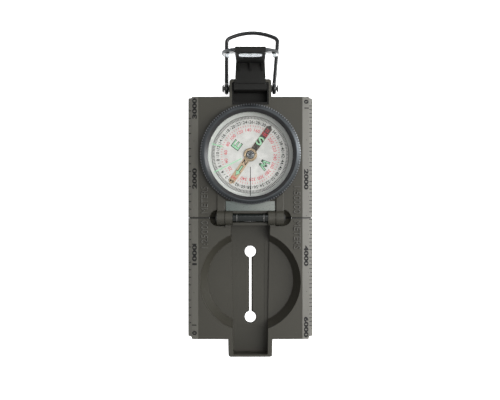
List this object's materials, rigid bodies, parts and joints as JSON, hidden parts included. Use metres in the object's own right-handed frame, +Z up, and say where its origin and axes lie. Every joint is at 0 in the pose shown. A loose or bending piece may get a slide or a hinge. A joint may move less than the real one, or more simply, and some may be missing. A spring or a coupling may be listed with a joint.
{
  "type": "folding sighting compass",
  "caption": "Folding metal compass with a floating dial, toothed turning bezel, slotted sighting lid with map rules, standing loupe lens and wire thumb loop.",
  "frame": {"origin": "on the dial's pivot axis, at the plane the compass rests on", "axes": "+Z up through the dial, +Y towards the loupe and thumb loop, -Y towards the open lid, +X across the hinge"},
  "size_m": [0.0656, 0.1741, 0.0468],
  "materials": {
    "olive_paint": "satin olive-drab enamel over die-cast metal",
    "bezel_grey": "satin blue-grey anodised ring",
    "black_moulding": "black moulded glass-filled plastic",
    "black_enamel": "gloss black enamel on steel",
    "bright_steel": "bright steel",
    "blackened_steel": "blackened steel",
    "black_wire": "black satin steel wire",
    "capsule_metal": "pale anodised aluminium",
    "gasket_rubber": "black rubber",
    "crystal_glass": "clear flat crystal",
    "lens_glass": "clear ground lens",
    "mirror_face": "polished metal strip",
    "card_white": "matte white printed card",
    "needle_paint": "black and copper enamel",
    "magnet_steel": "dull steel",
    "brass": "polished brass",
    "jewel": "grey polished jewel"
  },
  "bodies": {
    "case": {"base_leaf": "olive_paint", "front_mirror": "mirror_face", "hinge_pin": "blackened_steel", "capsule_bowl": "capsule_metal", "capsule_gasket": "gasket_rubber", "capsule_crystal": "crystal_glass", "capsule_clamp": "blackened_steel", "dial_surround": "card_white", "pivot_post": "brass", "loupe_cradle": "black_moulding", "tab_axle": "blackened_steel", "loop_spacers": "blackened_steel"},
    "lid": {"lid_leaf": "olive_paint", "hinge_sleeve": "black_enamel", "hinge_clips": "bright_steel"},
    "loupe": {"loupe_arm": "black_moulding", "lens_frame": "black_moulding", "loupe_lens": "lens_glass"},
    "loop": {"thumb_loop": "black_wire"},
    "bezel": {"bezel": "bezel_grey", "bezel_crystal": "crystal_glass", "bezel_snap_ring": "bright_steel"},
    "card": {"compass_card": "card_white", "needle": "needle_paint", "card_magnets": "magnet_steel", "jewel_cup": "jewel", "hub_ring": "brass"}
  },
  "joints": [
    {"name": "lid_hinge", "type": "hinge", "parent": "case", "child": "lid", "pos_m": [0, -0.0335, 0.0127], "axis": [-1, 0, 0], "range_deg": [0, 180]},
    {"name": "loupe_hinge", "type": "hinge", "parent": "case", "child": "loupe", "pos_m": [0, 0.0355, 0.0055], "axis": [1, 0, 0], "range_deg": [0, 90]},
    {"name": "loop_swing", "type": "hinge", "parent": "case", "child": "loop", "pos_m": [0, 0.0355, 0.0055], "axis": [1, 0, 0], "range_deg": [0, 50]},
    {"name": "bezel_turn", "type": "hinge", "parent": "case", "child": "bezel", "pos_m": [0, 0, 0.0145], "axis": [0, 0, 1], "continuous": true},
    {"name": "card_spin", "type": "hinge", "parent": "case", "child": "card", "pos_m": [0, 0, 0.0085], "axis": [0, 0, 1], "continuous": true}
  ]
}
